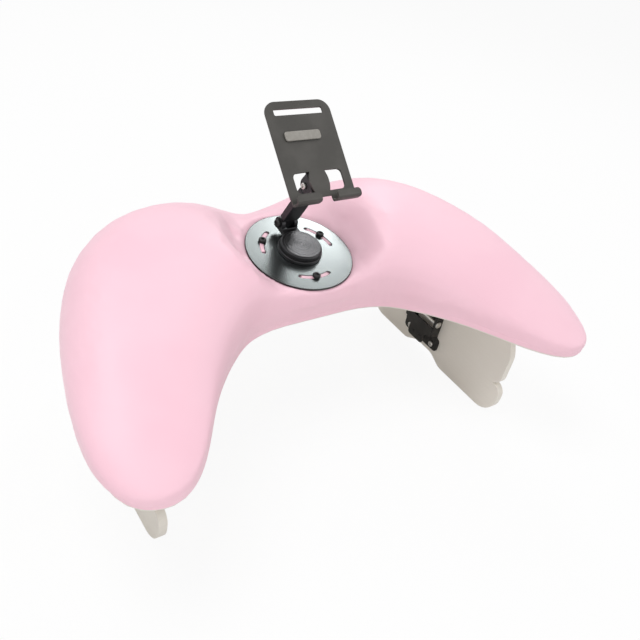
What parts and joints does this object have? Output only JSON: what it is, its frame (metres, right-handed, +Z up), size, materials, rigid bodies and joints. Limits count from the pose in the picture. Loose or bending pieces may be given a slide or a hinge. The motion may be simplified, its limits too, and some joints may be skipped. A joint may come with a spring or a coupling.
{
  "type": "manicure hand rest",
  "caption": "Padded horseshoe hand rest on folding side legs, with a swivelling, tilting phone holder on a steel disc in its middle.",
  "frame": {"origin": "middle of the footprint, on the table that the legs stand on", "axes": "+X to the right along the rest's width, +Y to the back, away from the person whose arms lie on it, +Z up"},
  "size_m": [0.5224, 0.3114, 0.3041],
  "materials": {
    "pink_leather": "smooth satin synthetic leather, pale pink",
    "cream_board": "matt cream laminate",
    "black_steel": "black coated steel",
    "brushed_disc": "polished grey steel",
    "black_aluminium": "black anodised, fine turned face",
    "plate_grey": "dark grey powder coat",
    "grey_silicone": "matt grey silicone",
    "bright_screw": "bright plated",
    "black_screw": "black oxide"
  },
  "bodies": {
    "rest": {"arm_pad": "pink_leather", "base_board": "cream_board", "mounting_disc": "brushed_disc", "disc_screw_1": "black_screw", "disc_screw_2": "black_screw", "disc_screw_3": "black_screw", "swivel_base": "black_aluminium", "board_leaf_right": "black_steel", "board_leaf_left": "black_steel", "board_screw_right_1": "bright_screw", "board_screw_right_2": "bright_screw", "board_screw_right_3": "bright_screw", "board_screw_right_4": "bright_screw", "board_screw_left_1": "bright_screw", "board_screw_left_2": "bright_screw", "board_screw_left_3": "bright_screw", "board_screw_left_4": "bright_screw"},
    "swivel": {"swivel_cap": "black_aluminium", "lower_bolt": "black_screw"},
    "arm": {"holder_arm": "black_aluminium"},
    "plate": {"phone_plate": "plate_grey", "plate_ears": "black_aluminium", "upper_bolt": "bright_screw", "plate_grip": "grey_silicone"},
    "right_leg": {"leg_panel_right": "cream_board", "leg_leaf_right": "black_steel", "pivot_pin_right": "black_steel", "lever_pin_right": "bright_screw", "leg_screw_right_1": "bright_screw", "leg_screw_right_2": "bright_screw", "leg_screw_right_3": "bright_screw", "leg_screw_right_4": "bright_screw"},
    "right_lever": {"lock_lever_right": "black_steel"},
    "left_leg": {"leg_panel_left": "cream_board", "leg_leaf_left": "black_steel", "pivot_pin_left": "black_steel", "lever_pin_left": "bright_screw", "leg_screw_left_1": "bright_screw", "leg_screw_left_2": "bright_screw", "leg_screw_left_3": "bright_screw", "leg_screw_left_4": "bright_screw"},
    "left_lever": {"lock_lever_left": "black_steel"}
  },
  "joints": [
    {"name": "holder_swivel", "type": "hinge", "parent": "rest", "child": "swivel", "pos_m": [0, 0.04199, 0.1701], "axis": [0, -0.153, 0.9882], "continuous": true},
    {"name": "arm_tilt", "type": "hinge", "parent": "swivel", "child": "arm", "pos_m": [0, 0.0717, 0.18603], "axis": [1, 0, 0], "range_deg": [-30, 45]},
    {"name": "plate_tilt", "type": "hinge", "parent": "arm", "child": "plate", "pos_m": [0, 0.04187, 0.2431], "axis": [1, 0, 0], "range_deg": [-25, 50]},
    {"name": "leg_fold_right", "type": "hinge", "parent": "rest", "child": "right_leg", "pos_m": [0.187, 0.02239, 0.1072], "axis": [0, 1, 0], "range_deg": [0, 90]},
    {"name": "leg_fold_left", "type": "hinge", "parent": "rest", "child": "left_leg", "pos_m": [-0.187, 0.02239, 0.1072], "axis": [0, -1, 0], "range_deg": [0, 90]},
    {"name": "lever_right", "type": "hinge", "parent": "right_leg", "child": "right_lever", "pos_m": [0.1915, 0.02239, 0.057], "axis": [0, -1, 0], "range_deg": [0, 5], "stiffness_Nm_per_rad": 1.5, "springref_deg": -5.73},
    {"name": "lever_left", "type": "hinge", "parent": "left_leg", "child": "left_lever", "pos_m": [-0.1915, 0.02239, 0.057], "axis": [0, 1, 0], "range_deg": [0, 5], "stiffness_Nm_per_rad": 1.5, "springref_deg": -5.73}
  ]
}
